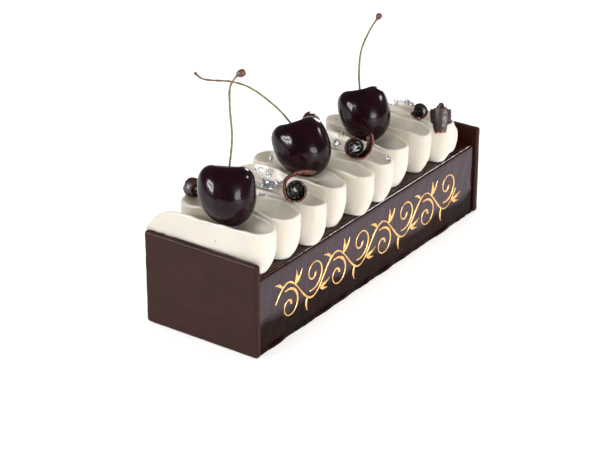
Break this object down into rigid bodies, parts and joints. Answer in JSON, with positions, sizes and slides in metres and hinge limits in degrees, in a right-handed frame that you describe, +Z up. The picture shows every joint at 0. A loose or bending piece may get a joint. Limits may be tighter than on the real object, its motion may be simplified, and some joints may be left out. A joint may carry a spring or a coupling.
{
  "type": "yule log cake",
  "caption": "Glazed chocolate yule log with chocolate end plates, a zigzag of piped cream, dark cherries on long stems, chocolate curls and a gold scroll border along one side",
  "frame": {"origin": "centre of the flat underside of the glazed bar, on the surface it stands on", "axes": "+X along the bar towards the plate with bare glaze before it, -Y is the decorated long side, +Z up"},
  "size_m": [0.2044, 0.0813, 0.1376],
  "materials": {
    "glaze": "mirror-gloss dark chocolate glaze",
    "plate": "satin tempered dark chocolate",
    "cream": "smooth satin whipped vanilla cream",
    "cherry": "glossy, almost black cherry skin",
    "stem": "olive green stem with a brown tip",
    "curl": "shaved dark chocolate, dull with rough edges"
  },
  "bodies": {
    "root": {"log_body": "glaze", "end_plate_left": "plate", "end_plate_right": "plate", "piped_cream": "cream", "cherry_left": "cherry", "cherry_middle": "cherry", "cherry_right": "cherry", "cherry_stem_left": "stem", "cherry_stem_middle": "stem", "cherry_stem_right": "stem", "chocolate_curl_1": "curl", "chocolate_curl_2": "curl", "chocolate_curl_3": "curl", "chocolate_curl_4": "curl", "chocolate_curl_5": "curl", "chocolate_curl_6": "curl"}
  },
  "joints": []
}
